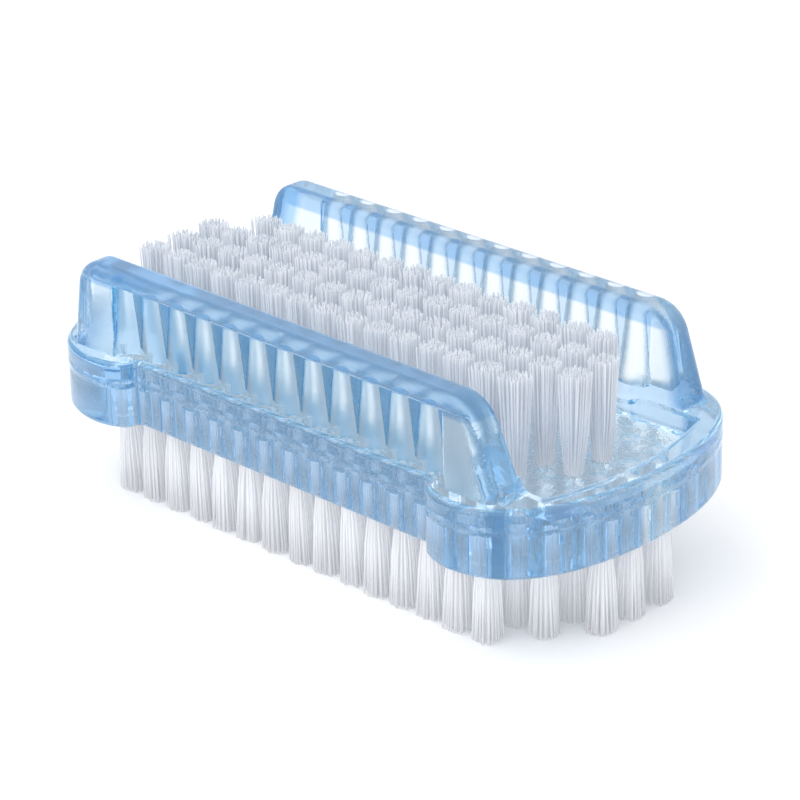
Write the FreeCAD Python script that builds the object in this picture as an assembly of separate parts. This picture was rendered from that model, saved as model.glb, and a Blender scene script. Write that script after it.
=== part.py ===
import FreeCAD, Part
import math
import os

# Double-sided nail brush, millimetres. +X runs along the brush, +Y across it and +Z up.
# The origin is at the middle of the brush, level with the tips of the lower bristles.

V = FreeCAD.Vector
UP = V(0, 0, 1)

# Overall size of the clear body
HALF_LENGTH = 46.0
WAIST_HALF_WIDTH = 19.6
WAIST_HALF_LENGTH = 25.2
SLAB_THICKNESS = 9.4
WALL_TOP = 21.6
SLAB_EDGE_ROUND = 0.8

# Plan of one lobe between the waist and the tip of the brush, as x and half width
LOBE_PROFILE = ((26.7, 20.9), (28.6, 22.4), (32.4, 23.0), (38.6, 20.9), (43.1, 15.2), (45.4, 7.6))

# Channel between the walls, measured from the slab's underside
FLOOR_HEIGHT = 6.5
CHANNEL_HALF_WIDTH_AT_FLOOR = 14.6
CHANNEL_HALF_WIDTH_AT_TOP = 16.0
CHANNEL_FLOOR_ROUND = 1.0
CHANNEL_HALF_LENGTH = 42.2
CHANNEL_CORNER_X = 39.6
RIM_ROUND = 0.8

# Finger-grip walls
WALL_OUTER_Y = 20.7
WALL_ROOT_Y = 18.0
WALL_FOOT_RISE = 1.8
WALL_FOOT_SAG = 0.35
WALL_FOOT_STEP = 1.2
WALL_FOOT_REACH = 1.0
WALL_OUTER_ROUND = 1.8
WALL_INNER_ROUND = 1.1

# Wall ends, front at +X and rear at -X: where each stands on the rim, how far it leans in for each
# millimetre of height, and the radius of its top corner
FRONT_END = (37.3, 0.33, 5.0)
REAR_END = (38.1, 0.16, 3.8)

# Fluted grip panel on the outside of each wall
FLUTE_COUNT = 12
FLUTE_PITCH = 4.9
FLUTE_TOP_RADIUS = 1.5
FLUTE_FOOT_RADIUS = 2.8
FLUTE_AXIS_Y = 20.6
PANEL_TOP = 19.8
PANEL_CREST_Y = 20.35
PANEL_FOOT_Y = 18.8
PANEL_FOOT_HEIGHT = 11.0

# Tufts and their holes
COLUMN_PITCH = 4.6
ROW_PITCH = 5.4

# First and last tuft of each row, counted in columns from the middle of the brush
TOP_ROWS = ((-7.5, 6.5), (-7.5, 7.5), (-7.5, 7.5), (-6.5, 6.5))
BOTTOM_ROWS = ((-7, 7), (-8, 8), (-9, 9), (-9, 9), (-9, 9), (-8, 8), (-7, 7))

HOLE_RADIUS = 1.20
HOLE_DEPTH = 4.4
ROOT_RADIUS = 1.15
TIP_RADIUS = 2.0
TIP_BEVEL = 0.25
TOP_TIP_HEIGHT = 20.2
LOWER_BRISTLE_LENGTH = 12.0

# Flat wire anchor that pins each tuft in its hole
ANCHOR_WIDTH = 2.8
ANCHOR_THICKNESS = 0.4
ANCHOR_HEIGHT = 1.6
ANCHOR_INSET = 0.6

# Height of the slab's underside above the lower bristle tips
SLAB_BASE = LOWER_BRISTLE_LENGTH

# How far cutting shapes run past what they cut, and how closely positions must agree
SAFE = 3.0
TOLERANCE = 1e-3


def line(a, b):
    return Part.LineSegment(a, b).toShape()


def arc(a, middle, b):
    return Part.Arc(a, middle, b).toShape()


def prism(edges, direction):
    """Solid swept from a closed loop of edges."""
    return Part.Face(Part.Wire(edges)).extrude(direction)


def mirrored(shape, normal):
    return shape.mirror(V(0, 0, 0), normal)


def lobe_curve():
    """Edge of one lobed end, from the waist on the +Y side round the +X end to the -Y side."""
    half = [V(WAIST_HALF_LENGTH, WAIST_HALF_WIDTH, 0)] + [V(x, y, 0) for x, y in LOBE_PROFILE]
    other = [V(p.x, -p.y, 0) for p in reversed(half)]
    curve = Part.BSplineCurve()
    curve.interpolate(
        Points=half + [V(HALF_LENGTH, 0, 0)] + other,
        InitialTangent=V(1, 0, 0),
        FinalTangent=V(-1, 0, 0),
    )
    return curve.toShape()


def edges_at_height(shape, height):
    """Edges that lie wholly in the level plane at a height."""
    found = []
    for edge in shape.Edges:
        box = edge.BoundBox
        if abs(box.ZMin - height) < TOLERANCE and abs(box.ZMax - height) < TOLERANCE:
            found.append(edge)
    return found


def make_slab():
    """Thick base with a waisted plan, its top and bottom edges rounded."""
    right = lobe_curve()
    left = mirrored(right, V(1, 0, 0))
    near = line(V(-WAIST_HALF_LENGTH, -WAIST_HALF_WIDTH, 0), V(WAIST_HALF_LENGTH, -WAIST_HALF_WIDTH, 0))
    far = mirrored(near, V(0, 1, 0))
    slab = prism([near, right, far, left], V(0, 0, SLAB_THICKNESS))
    return slab.makeFillet(SLAB_EDGE_ROUND, edges_at_height(slab, 0) + edges_at_height(slab, SLAB_THICKNESS))


def channel_plan():
    """Plan of the channel: straight sides and ends bowed like the slab's, as a tall prism."""
    half_width = CHANNEL_HALF_WIDTH_AT_TOP + SAFE
    corner = V(CHANNEL_CORNER_X - SAFE / 2, half_width, 0)
    opposite = V(corner.x, -half_width, 0)
    right = arc(corner, V(CHANNEL_HALF_LENGTH, 0, 0), opposite)
    left = mirrored(right, V(1, 0, 0))
    far = line(V(-corner.x, half_width, 0), corner)
    near = mirrored(far, V(0, 1, 0))
    return prism([far, right, near, left], V(0, 0, WALL_TOP + SAFE))


def channel_section():
    """Cross-section of the channel: drafted sides and rounded floor corners."""
    floor, top = FLOOR_HEIGHT, WALL_TOP + SAFE
    foot_y, r = CHANNEL_HALF_WIDTH_AT_FLOOR, CHANNEL_FLOOR_ROUND
    draft = (CHANNEL_HALF_WIDTH_AT_TOP - foot_y) / (WALL_TOP - floor - r)
    mouth_y = foot_y + draft * (top - floor - r)
    diagonal = 1 - math.sqrt(0.5)
    side = [
        arc(V(0, foot_y - r, floor), V(0, foot_y - r * diagonal, floor + r * diagonal), V(0, foot_y, floor + r)),
        line(V(0, foot_y, floor + r), V(0, mouth_y, top)),
    ]
    other = [mirrored(edge, V(0, 1, 0)) for edge in side]
    bottom = line(V(0, -foot_y + r, floor), V(0, foot_y - r, floor))
    lid = line(V(0, mouth_y, top), V(0, -mouth_y, top))
    loop = Part.Wire(Part.__sortEdges__([bottom, lid] + side + other))
    reach = HALF_LENGTH + SAFE
    return Part.Face(loop).extrude(V(2 * reach, 0, 0)).translated(V(-reach, 0, 0))


def make_channel():
    return channel_plan().common(channel_section())


def round_rim(slab):
    """Rounds the inner top edge of the rim that closes each end of the channel."""
    picked = []
    for edge in edges_at_height(slab, SLAB_THICKNESS):
        centre = edge.BoundBox.Center
        if abs(centre.x) > CHANNEL_CORNER_X and edge.BoundBox.XLength < SAFE:
            picked.append(edge)
    return slab.makeFillet(RIM_ROUND, picked)


def edge_across(shape, x, z):
    """The edge that runs straight across the brush at a given x and height."""
    for edge in shape.Edges:
        box = edge.BoundBox
        level = box.XLength < TOLERANCE and box.ZLength < TOLERANCE
        if level and abs(box.Center.x - x) < TOLERANCE and abs(box.Center.z - z) < TOLERANCE:
            return edge
    raise ValueError(f"no edge across the brush at x {x}, z {z}")


def wall_rims(shape):
    """Edges round the top and ends of a wall blank, on its outer face and on its inner face."""
    outer, inner = [], []
    for edge in shape.Edges:
        box = edge.BoundBox
        if box.ZMax < SLAB_THICKNESS:
            continue
        if box.YMin > WALL_OUTER_Y - TOLERANCE:
            outer.append(edge)
        elif box.YMax < CHANNEL_HALF_WIDTH_AT_TOP + TOLERANCE:
            inner.append(edge)
    return outer, inner


def wall_end_x(end, height):
    """Distance from the middle of the brush to a sloping wall end at a height."""
    foot, slope, _ = end
    return foot - slope * (height - SLAB_THICKNESS)


def foot_gusset(end, inner):
    """Concave foot that blends a wall's end into the rim, drawn at the +X end."""
    low, high = SLAB_THICKNESS, SLAB_THICKNESS + WALL_FOOT_RISE
    toe = V(wall_end_x(end, low) + WALL_FOOT_REACH, inner, low)
    heel = V(wall_end_x(end, high), inner, high)
    middle = V((toe.x + heel.x) / 2 - WALL_FOOT_SAG, inner, (low + high) / 2 - WALL_FOOT_SAG)
    under = V(toe.x, inner, low - SAFE / 2)
    back = V(heel.x - SAFE, inner, high)
    corner = V(back.x, inner, under.z)
    edges = [arc(toe, middle, heel), line(heel, back), line(back, corner), line(corner, under), line(under, toe)]
    return prism(edges, V(0, WALL_OUTER_Y - WALL_FOOT_STEP - inner, 0))


def make_wall_blank(channel):
    """The +Y wall before its flutes are cut: sloping ends, rounded edges and a foot at each end."""
    root = SLAB_THICKNESS - SAFE / 2
    inner = CHANNEL_HALF_WIDTH_AT_FLOOR - SAFE / 2
    front_x, rear_x = wall_end_x(FRONT_END, WALL_TOP), -wall_end_x(REAR_END, WALL_TOP)
    corners = [
        V(-wall_end_x(REAR_END, root), inner, root),
        V(wall_end_x(FRONT_END, root), inner, root),
        V(front_x, inner, WALL_TOP),
        V(rear_x, inner, WALL_TOP),
    ]
    face = Part.Face(Part.makePolygon(corners + corners[:1]))
    wall = face.extrude(V(0, WALL_OUTER_Y - inner, 0))
    for x, (_, _, radius) in ((front_x, FRONT_END), (rear_x, REAR_END)):
        wall = wall.makeFillet(radius, [edge_across(wall, x, WALL_TOP)])
    wall = wall.cut(channel)
    outer, _ = wall_rims(wall)
    wall = wall.makeFillet(WALL_OUTER_ROUND, outer)
    _, inside = wall_rims(wall)
    wall = wall.makeFillet(WALL_INNER_ROUND, inside)
    rear_gusset = mirrored(foot_gusset(REAR_END, inner), V(1, 0, 0))
    wall = wall.fuse([foot_gusset(FRONT_END, inner), rear_gusset]).cut(channel)
    overhang = Part.makeBox(2 * HALF_LENGTH, SAFE, SAFE, V(-HALF_LENGTH, WALL_ROOT_Y, SLAB_THICKNESS - SAFE))
    return wall.cut(overhang)


def flute_positions():
    first = -(FLUTE_COUNT - 1) / 2 * FLUTE_PITCH
    return [first + i * FLUTE_PITCH for i in range(FLUTE_COUNT)]


def grip_panel():
    """What is cut from the outside of the +Y wall: a shallow panel with a row of tapering flutes."""
    half = FLUTE_COUNT * FLUTE_PITCH / 2
    height = PANEL_TOP - SLAB_THICKNESS
    shallow = Part.makeBox(2 * half, SAFE, height, V(-half, PANEL_CREST_Y, SLAB_THICKNESS))
    foot_height = PANEL_FOOT_HEIGHT - SLAB_THICKNESS
    foot = Part.makeBox(2 * half, SAFE, foot_height, V(-half, PANEL_FOOT_Y, SLAB_THICKNESS))
    cutters = [foot]
    for x in flute_positions():
        base = V(x, FLUTE_AXIS_Y, SLAB_THICKNESS)
        cutters.append(Part.makeCone(FLUTE_FOOT_RADIUS, FLUTE_TOP_RADIUS, height, base, UP))
    return shallow.fuse(cutters)


def make_wall(channel):
    return make_wall_blank(channel).cut(grip_panel())


def row_sites(spans):
    """Rows of hole centres: one list of points for each row."""
    rows = []
    for row, (first, last) in enumerate(spans):
        y = (row - (len(spans) - 1) / 2) * ROW_PITCH
        count = round(last - first) + 1
        rows.append([V((first + i) * COLUMN_PITCH, y, 0) for i in range(count)])
    return rows


def tuft(mouth, tip, site):
    """One tuft: a packed root below the hole's mouth and a free end that spreads towards its tip."""
    outward = 1 if tip > mouth else -1
    bottom = mouth - outward * HOLE_DEPTH
    profile = [
        V(0, 0, bottom),
        V(ROOT_RADIUS, 0, bottom),
        V(ROOT_RADIUS, 0, mouth),
        V(TIP_RADIUS, 0, tip - outward * TIP_BEVEL),
        V(TIP_RADIUS - TIP_BEVEL, 0, tip),
        V(0, 0, tip),
    ]
    face = Part.Face(Part.makePolygon(profile + profile[:1]))
    solid = face.revolve(V(0, 0, 0), UP, 360)
    return solid.translated(site).cut(anchor(mouth, outward, site))


def anchor(mouth, outward, site):
    """One flat wire anchor lying across the root of a tuft."""
    bottom = mouth - outward * (HOLE_DEPTH - ANCHOR_INSET)
    low = min(bottom, bottom + outward * ANCHOR_HEIGHT)
    corner = V(site.x - ANCHOR_WIDTH / 2, site.y - ANCHOR_THICKNESS / 2, low)
    return Part.makeBox(ANCHOR_WIDTH, ANCHOR_THICKNESS, ANCHOR_HEIGHT, corner)


def hole(mouth, outward, site):
    """Blind hole that opens at the mouth, cut a little past it."""
    start = V(site.x, site.y, mouth - outward * HOLE_DEPTH)
    return Part.makeCylinder(HOLE_RADIUS, HOLE_DEPTH + SAFE / 2, start, UP * outward)


def make_body(cutters):
    channel = make_channel()
    slab = round_rim(make_slab().cut(channel))
    wall = make_wall(channel)
    blank = slab.fuse([wall, mirrored(wall, V(0, 1, 0))])
    return blank.removeSplitter().cut(Part.makeCompound(cutters))


def save(name, shape):
    shape.translated(V(0, 0, SLAB_BASE)).exportStep(f"parts/{name}.step")


def main():
    os.makedirs("parts", exist_ok=True)
    faces = (
        ("top", FLOOR_HEIGHT, 1, TOP_TIP_HEIGHT, TOP_ROWS),
        ("bottom", 0.0, -1, -LOWER_BRISTLE_LENGTH, BOTTOM_ROWS),
    )
    cutters = []
    for face_name, mouth, outward, tip, spans in faces:
        for number, sites in enumerate(row_sites(spans), start=1):
            anchors = [anchor(mouth, outward, site) for site in sites]
            tufts = [tuft(mouth, tip, site) for site in sites]
            cutters.extend(hole(mouth, outward, site).fuse(anchor(mouth, outward, site)) for site in sites)
            save(f"{face_name}_tufts_row_{number}", Part.makeCompound(tufts))
            save(f"{face_name}_anchors_row_{number}", Part.makeCompound(anchors))
    save("acrylic_body", make_body(cutters))


main()
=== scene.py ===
import math

import bmesh
import bpy
import numpy as np
from mathutils import Matrix, Vector


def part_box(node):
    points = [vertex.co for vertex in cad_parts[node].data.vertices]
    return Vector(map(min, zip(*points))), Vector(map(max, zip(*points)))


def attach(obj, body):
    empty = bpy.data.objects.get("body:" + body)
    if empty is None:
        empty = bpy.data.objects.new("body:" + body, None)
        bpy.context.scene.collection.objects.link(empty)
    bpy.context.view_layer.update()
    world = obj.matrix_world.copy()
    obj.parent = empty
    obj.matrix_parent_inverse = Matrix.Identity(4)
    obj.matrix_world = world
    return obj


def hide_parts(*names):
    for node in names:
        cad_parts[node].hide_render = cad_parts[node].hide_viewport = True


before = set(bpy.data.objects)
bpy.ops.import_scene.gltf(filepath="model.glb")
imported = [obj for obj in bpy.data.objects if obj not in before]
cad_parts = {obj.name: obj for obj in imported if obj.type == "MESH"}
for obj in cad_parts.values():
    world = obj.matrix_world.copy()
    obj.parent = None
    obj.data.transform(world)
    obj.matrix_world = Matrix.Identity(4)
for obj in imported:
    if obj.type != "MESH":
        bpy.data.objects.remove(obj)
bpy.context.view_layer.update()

# All lengths are in metres. Sizes that the CAD body and its tufts have
HOLE_DEPTH = 0.0044
SLAB_THICKNESS = 0.0094
BAND_HEIGHT = 0.0018
COLUMN_PITCH = 0.0046
CAD_TIP_RADIUS = 0.0020

# Heights above the standing surface: channel floor, slab, fluted panels, inner band of painted blue and
# bristle roots
FLOOR_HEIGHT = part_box("top_tufts_row_1")[0].z + HOLE_DEPTH
SLAB_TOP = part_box("bottom_tufts_row_1")[1].z - HOLE_DEPTH + SLAB_THICKNESS
PANEL_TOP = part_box("acrylic_body")[1].z - BAND_HEIGHT
INNER_BAND = PANEL_TOP - 0.0007
ROOT_HEIGHT = 0.0155

# Distances from the middle of the brush that bound the body's regions. The leans are how far the wall ends
# come in per unit of height, and the taper is how far the lobes come in per unit of distance across
WALL_INSIDE_Y = 0.0166
WALL_OUTSIDE_Y = 0.0172
OUTER_FACE_Y = 0.0202
RIDGE_CREST = 0.02035
PANEL_HALF_LENGTH = 0.0294
WALL_END = 0.0377
WALL_LEAN = 0.25
FRONT_FOOT = 0.0373
FRONT_LEAN = 0.33
SLAB_SIDE_Y = 0.0186
LOBE_REACH = 0.0482
LOBE_TAPER = 0.7
MIDDLE_BLEND = 0.001

# Filaments. The root and tip radii are those of a tuft's outermost centre lines, and the wobble and bend
# are shares of them
FOLDED_FILAMENTS = 38
FILAMENT_RADIUS = 0.00013
CUT_TAPER = 0.8
SIDES = 5
ROOT_RADIUS = 0.00108
TIP_RADIUS = 0.00196
TIP_WOBBLE = 0.055
BEND = 0.05
FLARE_HEIGHT = 0.40
FLARE_SHARE = 0.58
TIP_SCATTER = 0.00011
TUFT_SCATTER = 0.00006
TUFT_SPIN = 0.12
TUFT_LEAN = 0.00008

# Anchor wire, and how each tuft makes room for it
WIRE_SHARE = 0.15
WIRE_REACH = 0.00022
WIRE_CLEARANCE = 0.00002
WIRE_LOW = 0.0006
WIRE_HIGH = 0.0022
FOLD_NARROWING = 0.97
FOLD_RISE = 0.0003

# Air bubbles beside the holes and in the front wall ends. Each pair bounds a random value, and the second
# number of bubbles per hole is one past the most
BUBBLE_SEED = 77
BUBBLES_PER_HOLE = (1, 4)
HOLE_BUBBLE_SPREAD = (0.0002, 0.0013)
HOLE_BUBBLE_GAP = (0.00005, 0.0003)
HOLE_BUBBLE_RADIUS = (0.00006, 0.00016)
BUBBLES_PER_WALL = 26
WALL_BUBBLE_RISE = (0.08, 0.85)
WALL_BUBBLE_DEPTH = (0.0016, 0.0019)
WALL_BUBBLE_Y = (0.0186, 0.0191)
WALL_BUBBLE_RADIUS = (0.00004, 0.00011)

# Colours
PALE_TINT = (0.92, 0.925, 0.935, 1.0)
# painted blue of light piped and reflected inside the acrylic, mixed into its base colour
PAINTED_PIPED_BLUE = (0.03, 0.29, 0.64, 1.0)
# painted blue glow of the acrylic
PAINTED_BLUE_GLOW = (0.15, 0.46, 0.66, 1.0)
BODY_BLUE = (0.20, 0.583, 0.78, 1.0)
BUBBLE_TINT = (0.97, 0.985, 1.0, 1.0)
# painted glow of the nylon
PAINTED_NYLON_GLOW = (0.90, 0.94, 1.0, 1.0)
LOWER_NYLON = (0.83, 0.83, 0.84, 1.0)
# painted blue shade of the bristles above the slab
UPPER_NYLON_PAINTED_BLUE_SHADE = (0.69, 0.73, 0.78, 1.0)
# lighter streaks of the nylon, also used for painted light at the roots
NYLON_STREAKS_AND_PAINTED_ROOT_LIGHT = (0.97, 0.975, 0.985, 1.0)
WIRE_GREY = (0.88, 0.89, 0.90, 1.0)
FLOOR_GREY = (0.93, 0.93, 0.93, 1.0)
SURROUND = (0.98, 0.985, 1.0, 1.0)

# Strength of the painted blue of light piped inside the acrylic in each region; a pair is for the -Y wall
# and the +Y wall
PAINTED_INNER_BAND_BLUE = (0.9, 0.78)
PAINTED_BAND_BLUE = (0.75, 0.20)
PAINTED_END_BLUE = (0.40, 0.85)
PAINTED_RIDGE_BLUE = (1.0, 0.55)
PAINTED_SLAB_BLUE = 0.6

# How frosted the plain pads are beside the flutes, whose faces have 1
PAD_FROST = 0.7

# Camera, as the brush was photographed
AZIMUTH = 44.02
ELEVATION = 24.92
ROLL = -1.38
DISTANCE = 0.4428
LENS_MM = 148.815
SENSOR_MM = 36.0
AIM = Vector((-0.00601, 0.00881, 0.012))


def new_material(name):
    material = bpy.data.materials.new(name)
    material.use_nodes = True
    return material, material.node_tree, material.node_tree.nodes["Principled BSDF"]


def set_inputs(node, **values):
    for key, value in values.items():
        node.inputs[key.replace("_", " ")].default_value = value


def noise(tree, scale, detail=4.0, roughness=0.5, stretch=(1.0, 1.0, 1.0)):
    """Noise in the object's own space, so it keeps one real size on every face."""
    place = tree.nodes.new("ShaderNodeTexCoord")
    spread = tree.nodes.new("ShaderNodeMapping")
    set_inputs(spread, Scale=stretch)
    texture = tree.nodes.new("ShaderNodeTexNoise")
    set_inputs(texture, Scale=scale, Detail=detail, Roughness=roughness)
    tree.links.new(place.outputs["Object"], spread.inputs["Vector"])
    tree.links.new(spread.outputs["Vector"], texture.inputs["Vector"])
    return texture.outputs["Fac"]


def ramp(tree, value, low, high, from_value, to_value):
    """Maps a value from low..high to from_value..to_value, and holds it there on both sides."""
    node = tree.nodes.new("ShaderNodeMapRange")
    set_inputs(node, From_Min=low, From_Max=high, To_Min=from_value, To_Max=to_value)
    tree.links.new(value, node.inputs["Value"])
    return node.outputs["Result"]


def rising(tree, value, start, stop):
    """0 up to start, and 1 from stop on."""
    return ramp(tree, value, start, stop, 0.0, 1.0)


def falling(tree, value, start, stop):
    """1 up to start, and 0 from stop on."""
    return ramp(tree, value, start, stop, 1.0, 0.0)


def calculate(tree, operation, *values):
    """Math node on sockets and plain numbers."""
    node = tree.nodes.new("ShaderNodeMath")
    node.operation = operation
    for slot, value in zip(node.inputs, values):
        if isinstance(value, (int, float)):
            slot.default_value = value
        else:
            tree.links.new(value, slot)
    return node.outputs["Value"]


def product(tree, result, *others):
    for other in others:
        result = calculate(tree, "MULTIPLY", result, other)
    return result


def largest(tree, result, *others):
    for other in others:
        result = calculate(tree, "MAXIMUM", result, other)
    return result


def place_in_object(tree):
    """X, Y and Z of the shaded point in the object's own frame, in metres."""
    place = tree.nodes.new("ShaderNodeTexCoord")
    parts = tree.nodes.new("ShaderNodeSeparateXYZ")
    tree.links.new(place.outputs["Object"], parts.inputs["Vector"])
    return parts.outputs["X"], parts.outputs["Y"], parts.outputs["Z"]


def from_middle(tree):
    """Distances of the shaded point along and across the brush from its middle, and its height."""
    x, y, z = place_in_object(tree)
    return calculate(tree, "ABSOLUTE", x), calculate(tree, "ABSOLUTE", y), z


def near_height(tree, height, reach):
    """1 at a height above the standing surface, falling to 0 at a distance from it."""
    gap = calculate(tree, "ABSOLUTE", calculate(tree, "SUBTRACT", place_in_object(tree)[2], height))
    return falling(tree, gap, 0.0, reach)


def by_wall(tree, strengths):
    """The first strength on the -Y half of the brush and the second on the +Y half."""
    return ramp(tree, place_in_object(tree)[1], -MIDDLE_BLEND, MIDDLE_BLEND, *strengths)


def mix_colours(tree, amount, first, second):
    """Blends two colours, each of which is a plain colour or a socket."""
    node = tree.nodes.new("ShaderNodeMix")
    node.data_type = "RGBA"
    for slot, colour in ((node.inputs[6], first), (node.inputs[7], second)):
        if isinstance(colour, tuple):
            slot.default_value = colour
        else:
            tree.links.new(colour, slot)
    tree.links.new(amount, node.inputs[0])
    return node.outputs[2]


def bump(tree, shader, height, strength, distance, below=None):
    """Adds a layer of relief to a shader, over the layer below it."""
    node = tree.nodes.new("ShaderNodeBump")
    set_inputs(node, Strength=strength, Distance=distance)
    tree.links.new(height, node.inputs["Height"])
    if below:
        tree.links.new(below, node.inputs["Normal"])
    tree.links.new(node.outputs["Normal"], shader.inputs["Normal"])
    return node.outputs["Normal"]


def wall_reach(tree):
    """Distance along the brush from its middle, with the lean of the wall ends taken out."""
    along, _, z = from_middle(tree)
    return calculate(tree, "MULTIPLY_ADD", calculate(tree, "SUBTRACT", z, SLAB_TOP), WALL_LEAN, along)


def below_band(tree):
    """1 below the plain band along each wall's top, 0 on it."""
    return falling(tree, place_in_object(tree)[2], PANEL_TOP - 0.0001, PANEL_TOP)


def inside_panel(tree):
    """1 along the fluted panel, 0 on the pads beyond its ends."""
    return falling(tree, from_middle(tree)[0], PANEL_HALF_LENGTH, PANEL_HALF_LENGTH + 0.0002)


def painted_band_blue(tree):
    """Painted blue of piped light in the band along each wall's top, deepest on its inner face."""
    _, across, z = from_middle(tree)
    band = rising(tree, z, INNER_BAND - 0.0002, INNER_BAND + 0.0002)
    inner_face = falling(tree, across, WALL_INSIDE_Y, WALL_OUTSIDE_Y)
    inner_face = product(tree, inner_face, by_wall(tree, PAINTED_INNER_BAND_BLUE))
    return product(tree, band, largest(tree, inner_face, by_wall(tree, PAINTED_BAND_BLUE)))


def painted_end_blue(tree):
    """Painted blue of piped light in the walls' leaning ends."""
    end = rising(tree, wall_reach(tree), WALL_END - 0.0028, WALL_END - 0.0010)
    return product(tree, end, by_wall(tree, PAINTED_END_BLUE))


def painted_ridge_blue(tree):
    """Painted blue of piped light in the flat crests between the flutes."""
    _, across, _ = from_middle(tree)
    crest = rising(tree, across, RIDGE_CREST - 0.0005, RIDGE_CREST - 0.0001)
    not_beyond = falling(tree, across, RIDGE_CREST + 0.0001, RIDGE_CREST + 0.0002)
    return product(tree, crest, inside_panel(tree), not_beyond, below_band(tree), by_wall(tree, PAINTED_RIDGE_BLUE))


def painted_slab_blue(tree):
    """Painted blue of piped light in the slab's skin, along its sides and round its lobes."""
    along, across, z = from_middle(tree)
    side = rising(tree, across, SLAB_SIDE_Y - 0.0004, SLAB_SIDE_Y)
    beyond = calculate(tree, "MULTIPLY_ADD", across, LOBE_TAPER, along)
    lobe = rising(tree, beyond, LOBE_REACH - 0.0006, LOBE_REACH)
    below_top = ramp(tree, z, SLAB_TOP - 0.0006, SLAB_TOP, PAINTED_SLAB_BLUE, 0.0)
    return product(tree, below_top, largest(tree, side, lobe))


def painted_blue_depth(tree):
    """How strongly each region is painted with the blue of light piped inside the acrylic, with a faint
    cloudiness.
    """
    above_slab = rising(tree, place_in_object(tree)[2], SLAB_TOP - 0.0001, SLAB_TOP + 0.0004)
    wall = largest(tree, painted_band_blue(tree), painted_end_blue(tree), painted_ridge_blue(tree))
    painted_blue_share = largest(tree, product(tree, wall, above_slab), painted_slab_blue(tree))
    texture = noise(tree, 160.0, detail=3.0, stretch=(0.5, 1.0, 1.5))
    return product(tree, painted_blue_share, ramp(tree, texture, 0.3, 0.7, 0.92, 1.0))


def panel_faces(tree):
    """How frosted each region is: the hollow faces of the flutes most, then the pads beside them."""
    along, across, z = from_middle(tree)
    outside = rising(tree, across, WALL_OUTSIDE_Y, WALL_OUTSIDE_Y + 0.0003)
    pad = ramp(tree, along, PANEL_HALF_LENGTH, PANEL_HALF_LENGTH + 0.0002, 0.0, PAD_FROST)
    hollow = largest(tree, falling(tree, across, RIDGE_CREST - 0.00025, RIDGE_CREST - 0.00005), pad)
    before_end = falling(tree, wall_reach(tree), WALL_END - 0.0030, WALL_END - 0.0022)
    above_slab = rising(tree, z, SLAB_TOP, SLAB_TOP + 0.0003)
    return product(tree, outside, hollow, before_end, above_slab, below_band(tree))


def acrylic_roughness(tree):
    """Polished with handling marks, frosted on the flutes and pads, and softened along the wall tops."""
    marks = ramp(tree, noise(tree, 900.0, detail=6.0, roughness=0.6), 0.45, 0.75, 0.02, 0.09)
    frost = ramp(tree, noise(tree, 420.0, detail=3.0), 0.3, 0.7, 0.42, 0.55)
    band = ramp(tree, place_in_object(tree)[2], PANEL_TOP - 0.0001, PANEL_TOP + 0.0002, 0.0, 0.22)
    return largest(tree, marks, product(tree, frost, panel_faces(tree)), band)


def acrylic_relief(tree, shader):
    """Moulded skin: ripples, flow lines, a line under the band, a pitted channel floor and fine grain."""
    ripples = noise(tree, 140.0, detail=2.0)
    skin = bump(tree, shader, ripples, strength=0.25, distance=0.0004)
    flow = noise(tree, 110.0, detail=3.0, stretch=(1.0, 1.0, 9.0))
    skin = bump(tree, shader, flow, strength=0.18, distance=0.0002, below=skin)
    outer_face = rising(tree, from_middle(tree)[1], OUTER_FACE_Y - 0.0003, OUTER_FACE_Y)
    line = product(tree, near_height(tree, PANEL_TOP, 0.00022), outer_face)
    skin = bump(tree, shader, line, strength=0.9, distance=0.0003, below=skin)
    pits = noise(tree, 620.0, detail=4.0, roughness=0.55)
    pits = product(tree, pits, near_height(tree, FLOOR_HEIGHT, 0.0007))
    skin = bump(tree, shader, pits, strength=0.6, distance=0.0006, below=skin)
    grain = noise(tree, 1500.0, detail=5.0, roughness=0.6)
    bump(tree, shader, grain, strength=0.10, distance=0.00006, below=skin)


def acrylic():
    """Clear blue acrylic with a faint painted blue glow, and painted blue of light piped inside it in the
    wall tops, ends and ridges.
    """
    material, tree, shader = new_material("clear_blue_acrylic")
    # The acrylic's emission is a painted blue glow
    set_inputs(shader, IOR=1.49, Transmission_Weight=1.0, Emission_Color=PAINTED_BLUE_GLOW, Emission_Strength=0.042)
    # The base colour is painted with the blue of light piped inside the acrylic
    tint_with_painted_light = mix_colours(tree, painted_blue_depth(tree), PALE_TINT, PAINTED_PIPED_BLUE)
    tree.links.new(tint_with_painted_light, shader.inputs["Base Color"])
    tree.links.new(acrylic_roughness(tree), shader.inputs["Roughness"])
    acrylic_relief(tree, shader)
    volume = tree.nodes.new("ShaderNodeVolumeAbsorption")
    set_inputs(volume, Color=BODY_BLUE, Density=30.0)
    tree.links.new(volume.outputs["Volume"], tree.nodes["Material Output"].inputs["Volume"])
    return material


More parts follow.
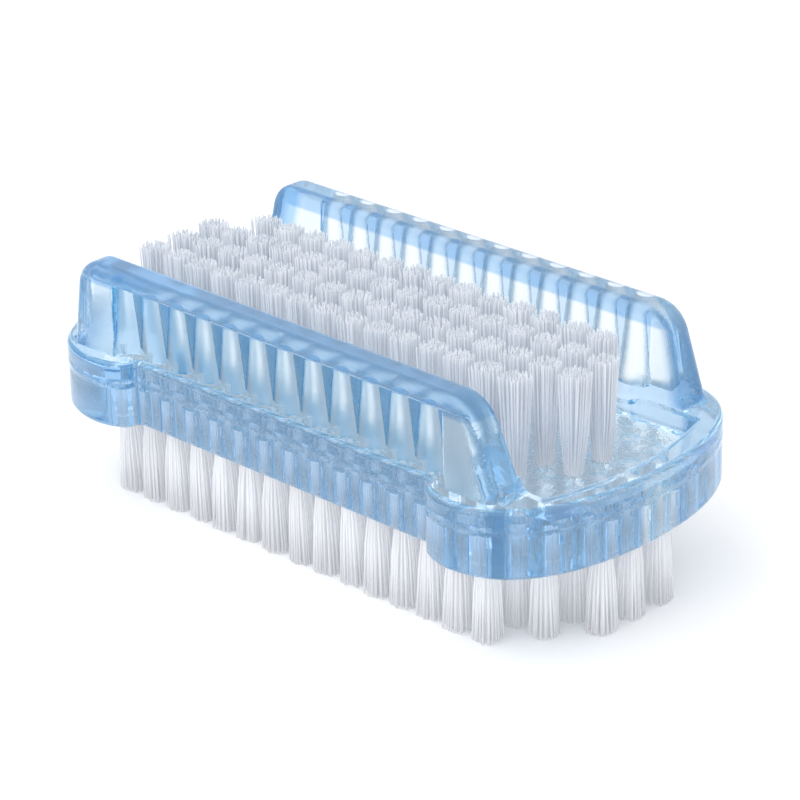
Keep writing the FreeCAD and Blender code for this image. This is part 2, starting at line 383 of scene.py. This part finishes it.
def nylon():
    """White nylon filament: translucent and streaked, with painted blue shade above the slab, painted light
    at the roots and a painted glow all over.
    """
    material, tree, shader = new_material("white_nylon")
    # The nylon's emission is a painted glow
    set_inputs(shader, IOR=1.53, Roughness=0.4, Emission_Color=PAINTED_NYLON_GLOW, Emission_Strength=0.20)
    streaks = noise(tree, 500.0, detail=3.0, stretch=(1.0, 1.0, 0.12))
    streaks = ramp(tree, streaks, 0.35, 0.65, 0.0, 0.4)
    # Painted light at the bristle roots
    painted_root_light = near_height(tree, ROOT_HEIGHT, 0.0040)
    # Painted blue shade on the bristles above the slab
    painted_upper_shade = rising(tree, place_in_object(tree)[2], ROOT_HEIGHT, SLAB_TOP)
    free = mix_colours(tree, painted_upper_shade, LOWER_NYLON, UPPER_NYLON_PAINTED_BLUE_SHADE)
    tint_with_painted_light = mix_colours(tree, largest(tree, streaks, painted_root_light), free, NYLON_STREAKS_AND_PAINTED_ROOT_LIGHT)
    tree.links.new(tint_with_painted_light, shader.inputs["Base Color"])
    bump(tree, shader, noise(tree, 6000.0, detail=2.0), strength=0.15, distance=0.00002)
    through = tree.nodes.new("ShaderNodeBsdfTranslucent")
    tree.links.new(tint_with_painted_light, through.inputs["Color"])
    blend = tree.nodes.new("ShaderNodeMixShader")
    blend.inputs["Fac"].default_value = 0.5
    tree.links.new(shader.outputs["BSDF"], blend.inputs[1])
    tree.links.new(through.outputs["BSDF"], blend.inputs[2])
    tree.links.new(blend.outputs["Shader"], tree.nodes["Material Output"].inputs["Surface"])
    return material


def wire():
    """Drawn flat wire with a dull grey skin."""
    material, tree, shader = new_material("anchor_wire")
    set_inputs(shader, Metallic=1.0, Base_Color=WIRE_GREY)
    tree.links.new(ramp(tree, noise(tree, 2500.0), 0.3, 0.7, 0.25, 0.5), shader.inputs["Roughness"])
    bump(tree, shader, noise(tree, 4000.0), strength=0.2, distance=0.00003)
    return material


def bubble_wall():
    """Skin of an air bubble in the acrylic."""
    material, tree, shader = new_material("bubble_wall")
    set_inputs(shader, Base_Color=BUBBLE_TINT, IOR=1.49, Transmission_Weight=1.0)
    tree.links.new(ramp(tree, noise(tree, 3000.0), 0.3, 0.7, 0.0, 0.04), shader.inputs["Roughness"])
    return material


def tuft_centres(node):
    """Centres of the tufts in one CAD row."""
    low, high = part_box(node)
    first = low.x + CAD_TIP_RADIUS
    count = round((high.x - low.x - 2 * CAD_TIP_RADIUS) / COLUMN_PITCH) + 1
    y = (low.y + high.y) / 2
    return [(first + i * COLUMN_PITCH, y) for i in range(count)]


def packing():
    """Places of a tuft's folded filaments on a disc of radius 1: along X, and across Y where they are
    free and where the wire in the middle pushes them apart."""
    index = np.arange(FOLDED_FILAMENTS) + 0.5
    turn = index * math.pi * (3 - math.sqrt(5)) * 2
    radius = np.sqrt(index / FOLDED_FILAMENTS)
    free_y = np.abs(radius * np.sin(turn))
    return radius * np.cos(turn), free_y, WIRE_SHARE + free_y * (1 - WIRE_SHARE)


def half_tuft(rng, side, outward, mouth, tip):
    """Centre lines, from tip to root, of the filaments on one side of the anchor wire."""
    count = FOLDED_FILAMENTS
    across_x, free_y, packed_y = packing()
    bottom = mouth - outward * HOLE_DEPTH
    wobble = rng.normal(0, TIP_WOBBLE, (count, 2))
    bend = rng.normal(0, BEND, (count, 2))
    root = np.stack([across_x, side * packed_y], 1) * ROOT_RADIUS
    outer = (np.stack([across_x, side * free_y], 1) + wobble) * TIP_RADIUS
    middle = root * (1 - FLARE_SHARE) + outer * FLARE_SHARE + bend * ROOT_RADIUS
    cut = tip - outward * (np.abs(rng.normal(0, TIP_SCATTER, count)) + abs(rng.normal(0, TUFT_SCATTER)))
    beside = root.copy()
    beside[:, 1] = side * np.maximum(np.abs(root[:, 1]), WIRE_REACH + FILAMENT_RADIUS)
    levels = [
        (outer, cut),
        (middle, np.full(count, mouth + (tip - mouth) * FLARE_HEIGHT)),
        (root, np.full(count, mouth)),
        (beside, np.full(count, bottom + outward * WIRE_HIGH)),
        (beside * [1, FOLD_NARROWING], np.full(count, bottom + outward * WIRE_LOW)),
    ]
    return np.stack([np.column_stack([xy, z]) for xy, z in levels], 1)


def folded_paths(rng, outward, mouth, tip):
    """Centre lines of one tuft's folded filaments, each running from tip to tip under the anchor wire.

    Returns an array of shape (filaments, points, 3), centred on the hole's axis."""
    halves = [half_tuft(rng, side, outward, mouth, tip) for side in (-1, 1)]
    _, _, packed_y = packing()
    bottom = mouth - outward * HOLE_DEPTH
    fold = halves[0][:, -1].copy()
    fold[:, 1] = 0
    fold[:, 2] = bottom + outward * (FILAMENT_RADIUS + FOLD_RISE * (1 - packed_y))
    return np.concatenate([halves[0], fold[:, None, :], halves[1][:, ::-1]], 1)


def placed_tuft(rng, paths, x, y, outward, mouth, tip):
    """One tuft's centre lines moved to its hole, with the free part turned and leaning slightly."""
    spin = rng.uniform(-TUFT_SPIN, TUFT_SPIN)
    away = np.abs(paths[:, :, 2] - mouth) / abs(tip - mouth)
    away *= np.sign((paths[:, :, 2] - mouth) * outward).clip(0)
    lean = rng.normal(0, TUFT_LEAN, 2)
    turned = paths.copy()
    turned[:, :, 0] = paths[:, :, 0] * math.cos(spin) - paths[:, :, 1] * math.sin(spin) * away
    turned[:, :, 0] += x + lean[0] * away
    turned[:, :, 1] += y + lean[1] * away
    return turned


def ring_offsets(paths, radius):
    """Corners of each tube's cross-section, relative to its centre line."""
    ahead = np.diff(paths, axis=1)
    ahead = np.concatenate([ahead[:, :1], (ahead[:, 1:] + ahead[:, :-1]) / 2, ahead[:, -1:]], 1)
    ahead /= np.linalg.norm(ahead, axis=2, keepdims=True) + 1e-12
    side = np.cross(ahead, [1.0, 0.0, 0.0])
    side /= np.linalg.norm(side, axis=2, keepdims=True) + 1e-12
    other = np.cross(ahead, side)
    angle = np.arange(SIDES) * 2 * math.pi / SIDES
    thick = np.full(paths.shape[1], radius)
    thick[[0, -1]] *= CUT_TAPER
    ring = (
        side[:, :, None] * np.cos(angle)[None, None, :, None]
        + other[:, :, None] * np.sin(angle)[None, None, :, None]
    )
    return ring * thick[None, :, None, None]


def tubes(paths, radius):
    """Vertices, side faces and end faces of closed tubes along many centre lines of the same length."""
    count, points, _ = paths.shape
    verts = (paths[:, :, None] + ring_offsets(paths, radius)).reshape(-1, 3)
    quads = []
    for row in range(points - 1):
        for corner in range(SIDES):
            a = row * SIDES + corner
            b = row * SIDES + (corner + 1) % SIDES
            quads.append((a, b, b + SIDES, a + SIDES))
    shift = np.arange(count)[:, None, None] * points * SIDES
    sides = (np.array(quads)[None] + shift).reshape(-1, 4)
    last = (points - 1) * SIDES
    ends = np.array([list(range(SIDES))[::-1], [last + k for k in range(SIDES)]])
    caps = (ends[None] + shift).reshape(-1, SIDES)
    return verts, sides, caps


def mesh_object(name, verts, sides, caps):
    """Mesh of four-sided side faces, shaded smooth, and end faces, shaded flat."""
    mesh = bpy.data.meshes.new(name)
    loops = np.concatenate([sides.ravel(), caps.ravel()]).astype(np.int32)
    sizes = np.concatenate([np.full(len(sides), 4), np.full(len(caps), SIDES)])
    starts = np.concatenate([[0], np.cumsum(sizes)[:-1]]).astype(np.int32)
    mesh.vertices.add(len(verts))
    mesh.vertices.foreach_set("co", verts.astype(np.float32).ravel())
    mesh.loops.add(len(loops))
    mesh.loops.foreach_set("vertex_index", loops)
    mesh.polygons.add(len(sizes))
    mesh.polygons.foreach_set("loop_start", starts)
    smooth = np.concatenate([np.ones(len(sides), bool), np.zeros(len(caps), bool)])
    mesh.polygons.foreach_set("use_smooth", smooth)
    mesh.update(calc_edges=True)
    piece = bpy.data.objects.new(name, mesh)
    bpy.context.collection.objects.link(piece)
    return piece


def bristle_row(node, material, seed):
    """All the filaments of one CAD row of tufts, as one piece."""
    rng = np.random.default_rng(seed)
    low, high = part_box(node)
    outward = 1 if node.startswith("top") else -1
    tip = high.z if outward > 0 else low.z
    hole_end = low.z if outward > 0 else high.z
    mouth = hole_end + outward * HOLE_DEPTH
    tufts = []
    for x, y in tuft_centres(node):
        paths = folded_paths(rng, outward, mouth, tip)
        tufts.append(placed_tuft(rng, paths, x, y, outward, mouth, tip))
    verts, sides, caps = tubes(np.concatenate(tufts), FILAMENT_RADIUS)
    piece = mesh_object(node.replace("tufts", "bristles"), verts, sides, caps)
    piece.data.materials.append(material)
    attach(piece, "root")
    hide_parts(node)


def ball():
    """Sphere of radius 1 turned inside out, so that light passes from acrylic into the air inside it."""
    mesh = bmesh.new()
    bmesh.ops.create_icosphere(mesh, subdivisions=2, radius=1.0)
    bmesh.ops.reverse_faces(mesh, faces=mesh.faces)
    verts = np.array([v.co[:] for v in mesh.verts])
    faces = np.array([[v.index for v in face.verts] for face in mesh.faces])
    mesh.free()
    return verts, faces


def hole_bubbles(rng, node):
    """Centres and radii of the bubbles beside the blind ends of one row's holes."""
    low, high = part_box(node)
    blind_end = low.z if node.startswith("top") else high.z
    inward = -1 if node.startswith("top") else 1
    sites = []
    for x, y in tuft_centres(node):
        for _ in range(rng.integers(*BUBBLES_PER_HOLE)):
            turn = rng.uniform(0, 2 * math.pi)
            spread = rng.uniform(*HOLE_BUBBLE_SPREAD)
            size = rng.uniform(*HOLE_BUBBLE_RADIUS)
            height = blind_end + inward * (size + rng.uniform(*HOLE_BUBBLE_GAP))
            sites.append((x + spread * math.cos(turn), y + spread * math.sin(turn), height, size))
    return sites


def wall_bubbles(rng, side):
    """Centres and radii of the bubbles in one wall's front end."""
    sites = []
    for share in rng.uniform(*WALL_BUBBLE_RISE, BUBBLES_PER_WALL):
        rise = share * (PANEL_TOP - SLAB_TOP)
        x = FRONT_FOOT - FRONT_LEAN * rise - rng.uniform(*WALL_BUBBLE_DEPTH)
        y = side * rng.uniform(*WALL_BUBBLE_Y)
        sites.append((x, y, SLAB_TOP + rise, rng.uniform(*WALL_BUBBLE_RADIUS)))
    return sites


def bubbles(material):
    """Trapped air bubbles, all as one piece."""
    rng = np.random.default_rng(BUBBLE_SEED)
    rows = [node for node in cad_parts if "tufts" in node]
    sites = [site for node in rows for site in hole_bubbles(rng, node)]
    sites += [site for side in (-1, 1) for site in wall_bubbles(rng, side)]
    sites = np.array(sites)
    verts, faces = ball()
    all_verts = (verts[None] * sites[:, None, 3:] + sites[:, None, :3]).reshape(-1, 3)
    all_faces = (faces[None] + np.arange(len(sites))[:, None, None] * len(verts)).reshape(-1, 3)
    mesh = bpy.data.meshes.new("trapped_bubbles")
    mesh.from_pydata(all_verts.tolist(), [], all_faces.tolist())
    mesh.shade_smooth()
    piece = bpy.data.objects.new("trapped_bubbles", mesh)
    bpy.context.collection.objects.link(piece)
    piece.data.materials.append(material)
    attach(piece, "root")


def dress(node, material):
    """Gives a CAD node its finish and smooth shading that keeps its real corners."""
    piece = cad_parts[node]
    piece.data.materials.clear()
    piece.data.materials.append(material)
    piece.data.shade_smooth()
    piece.data.set_sharp_from_angle(angle=math.radians(28))
    return piece


def dress_anchors(node, material):
    """Dresses a row of anchors and draws them in a hair, so that they don't coincide with their slots."""
    clearance = dress(node, material).modifiers.new("clearance", "DISPLACE")
    clearance.strength = -WIRE_CLEARANCE
    clearance.mid_level = 0.0


def area_light(name, place, size, power, aim):
    lamp = bpy.data.lights.new(name, "AREA")
    lamp.shape = "RECTANGLE"
    lamp.size, lamp.size_y = size
    lamp.energy = power
    item = bpy.data.objects.new(name, lamp)
    bpy.context.collection.objects.link(item)
    item.location = place
    item.rotation_euler = (aim - Vector(place)).to_track_quat("-Z", "Y").to_euler()


def studio():
    """Pale floor, soft surround and two softboxes."""
    bpy.ops.mesh.primitive_plane_add(size=6.0, location=(0, 0, 0))
    floor = bpy.context.object
    floor.name = "floor"
    material, _, shader = new_material("pale_floor")
    set_inputs(shader, Base_Color=FLOOR_GREY, Roughness=0.9, Specular_IOR_Level=0.1)
    floor.data.materials.append(material)
    world = bpy.data.worlds.new("surround")
    world.use_nodes = True
    set_inputs(world.node_tree.nodes["Background"], Color=SURROUND, Strength=1.08)
    bpy.context.scene.world = world
    target = Vector((0, 0, 0.02))
    area_light("overhead", (-0.5, -0.6, 1.3), (1.6, 1.6), 10.0, target)
    area_light("front", (0.6, -1.5, 0.6), (2.4, 1.0), 8.0, target)


def camera():
    """Camera at the photograph's viewing angle."""
    turn, tilt, roll = (math.radians(v) for v in (AZIMUTH, ELEVATION, ROLL))
    back = Vector((math.sin(turn) * math.cos(tilt), -math.cos(turn) * math.cos(tilt), math.sin(tilt)))
    right = Vector((math.cos(turn), math.sin(turn), 0))
    up = back.cross(right)
    tipped_right = right * math.cos(roll) + up * math.sin(roll)
    tipped_up = up * math.cos(roll) - right * math.sin(roll)
    data = bpy.data.cameras.new("camera")
    data.sensor_width = SENSOR_MM
    data.lens = LENS_MM
    data.clip_start = 0.01
    item = bpy.data.objects.new("camera", data)
    bpy.context.collection.objects.link(item)
    pose = Matrix((tipped_right, tipped_up, back)).transposed().to_4x4()
    pose.translation = AIM + back * DISTANCE
    item.matrix_world = pose
    bpy.context.scene.camera = item


def render_look():
    """Plain colour, and enough light bounces to see right through the acrylic."""
    scene = bpy.context.scene
    scene.view_settings.view_transform = "Standard"
    scene.cycles.max_bounces = 40
    scene.cycles.transmission_bounces = 32
    scene.cycles.glossy_bounces = 16
    scene.cycles.diffuse_bounces = 20
    scene.cycles.transparent_max_bounces = 16


def main():
    clear = acrylic()
    white = nylon()
    metal = wire()
    dress("acrylic_body", clear)
    bubbles(bubble_wall())
    for seed, node in enumerate(sorted(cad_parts)):
        if "anchors" in node:
            dress_anchors(node, metal)
        elif "tufts" in node:
            bristle_row(node, white, seed)
    studio()
    camera()
    render_look()


main()
